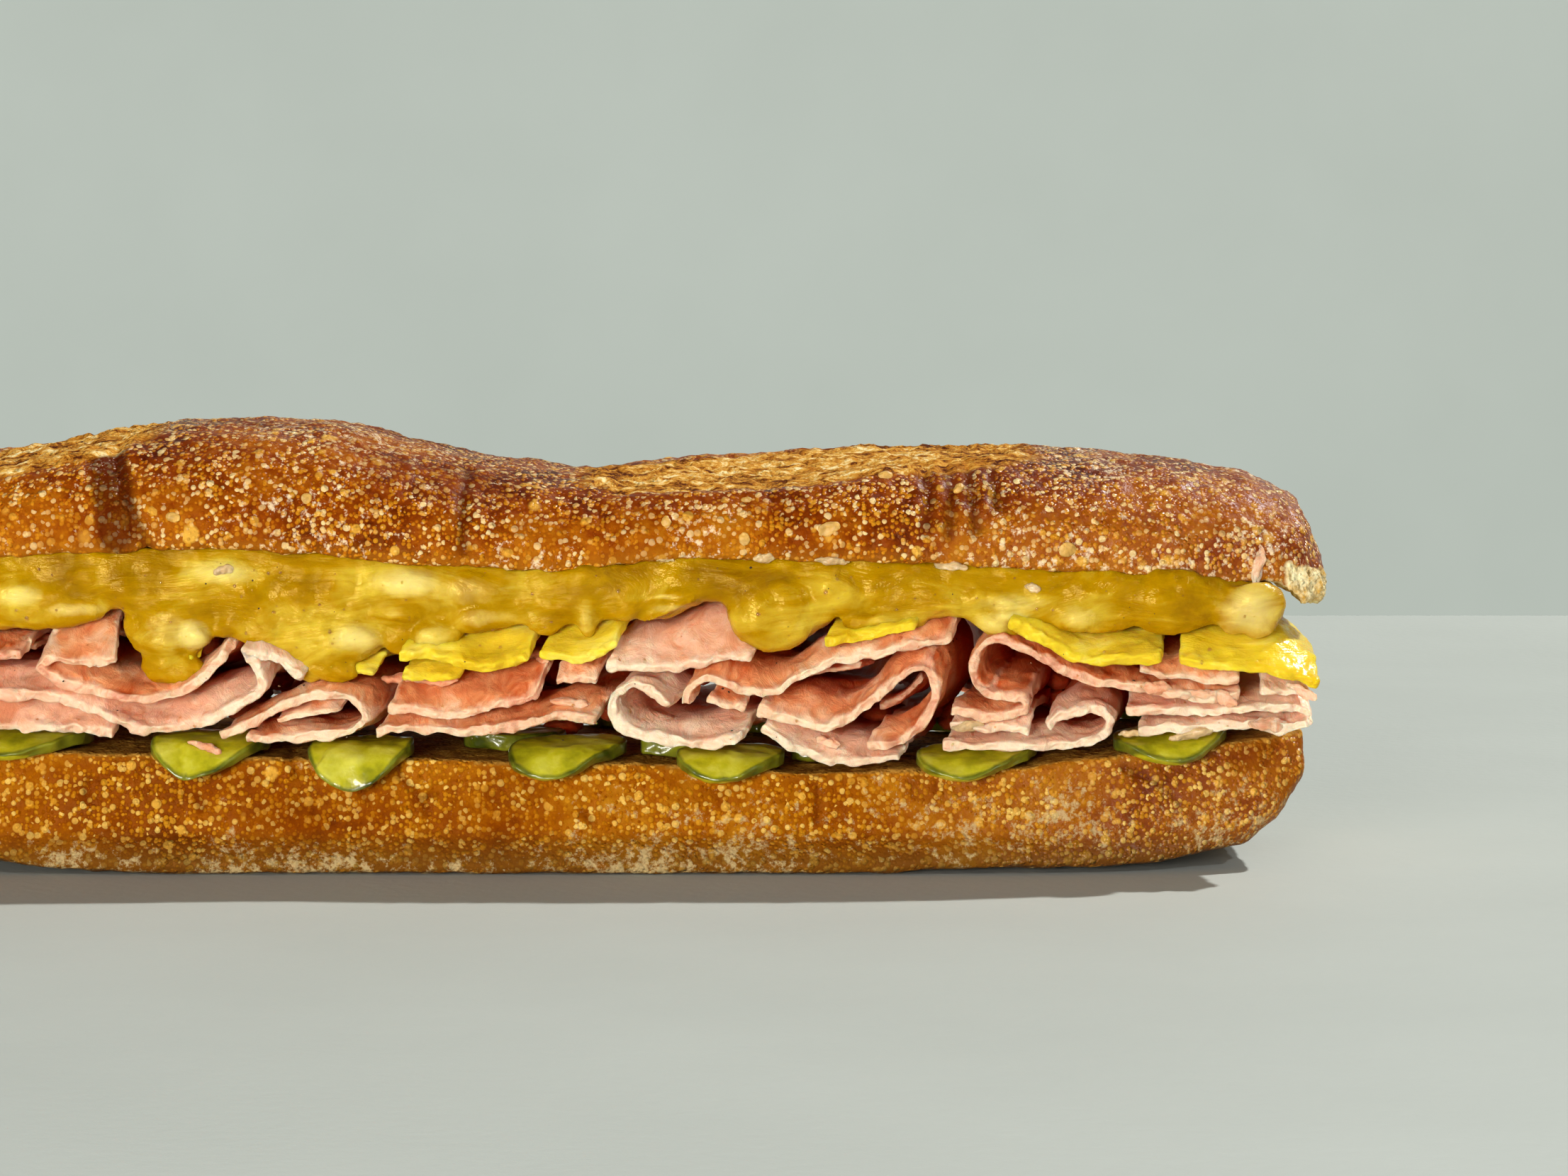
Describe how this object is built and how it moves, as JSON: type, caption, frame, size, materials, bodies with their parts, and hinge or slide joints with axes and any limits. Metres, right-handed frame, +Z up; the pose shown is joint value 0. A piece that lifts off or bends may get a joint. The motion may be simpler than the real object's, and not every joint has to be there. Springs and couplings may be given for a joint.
{
  "type": "submarine sandwich",
  "caption": "Toasted submarine sandwich in a split crusty loaf, with folded ham, melted yellow cheese and gherkin slices.",
  "frame": {"origin": "on the table under the middle of the sandwich's length and width", "axes": "+X along the loaf, -Y towards the front cut, +Z up"},
  "size_m": [0.3002, 0.0862, 0.0884],
  "materials": {
    "bread_crust": "satin",
    "ham": "satin",
    "cheese": "gloss",
    "gherkin": "gloss"
  },
  "bodies": {
    "root": {"bread_heel": "bread_crust", "bread_lid": "bread_crust", "cheese_corner": "cheese", "cheese_curl": "cheese", "cheese_cut_slice": "cheese", "cheese_end_slice": "cheese", "cheese_ham_cover": "cheese", "cheese_melt": "cheese", "cheese_strip": "cheese", "cheese_under_drop": "cheese", "cheese_under_lobe": "cheese", "gherkin_back_1": "gherkin", "gherkin_back_2": "gherkin", "gherkin_back_3": "gherkin", "gherkin_back_4": "gherkin", "gherkin_back_5": "gherkin", "gherkin_back_6": "gherkin", "gherkin_back_7": "gherkin", "gherkin_back_8": "gherkin", "gherkin_front_1": "gherkin", "gherkin_front_10": "gherkin", "gherkin_front_11": "gherkin", "gherkin_front_2": "gherkin", "gherkin_front_3": "gherkin", "gherkin_front_4": "gherkin", "gherkin_front_5": "gherkin", "gherkin_front_6": "gherkin", "gherkin_front_7": "gherkin", "gherkin_front_8": "gherkin", "gherkin_front_9": "gherkin", "ham_apron": "ham", "ham_arch": "ham", "ham_arch_leaf": "ham", "ham_cup": "ham", "ham_deep_leaf_1": "ham", "ham_deep_leaf_2": "ham", "ham_deep_leaf_3": "ham", "ham_deep_leaf_4": "ham", "ham_deep_leaf_5": "ham", "ham_deep_leaf_6": "ham", "ham_deep_leaf_7": "ham", "ham_deep_leaf_8": "ham", "ham_deep_leaf_9": "ham", "ham_drape": "ham", "ham_end_leaf": "ham", "ham_end_loop": "ham", "ham_fan": "ham", "ham_flat_loop": "ham", "ham_hairpin": "ham", "ham_inner_scrap": "ham", "ham_pale_layer": "ham", "ham_pink_flap": "ham", "ham_right_loop": "ham", "ham_ring": "ham", "ham_s_curl": "ham", "ham_shelf": "ham", "ham_short_leaf": "ham", "ham_teardrop": "ham", "ham_tongue": "ham", "ham_tucked_leaf": "ham"}
  },
  "joints": []
}
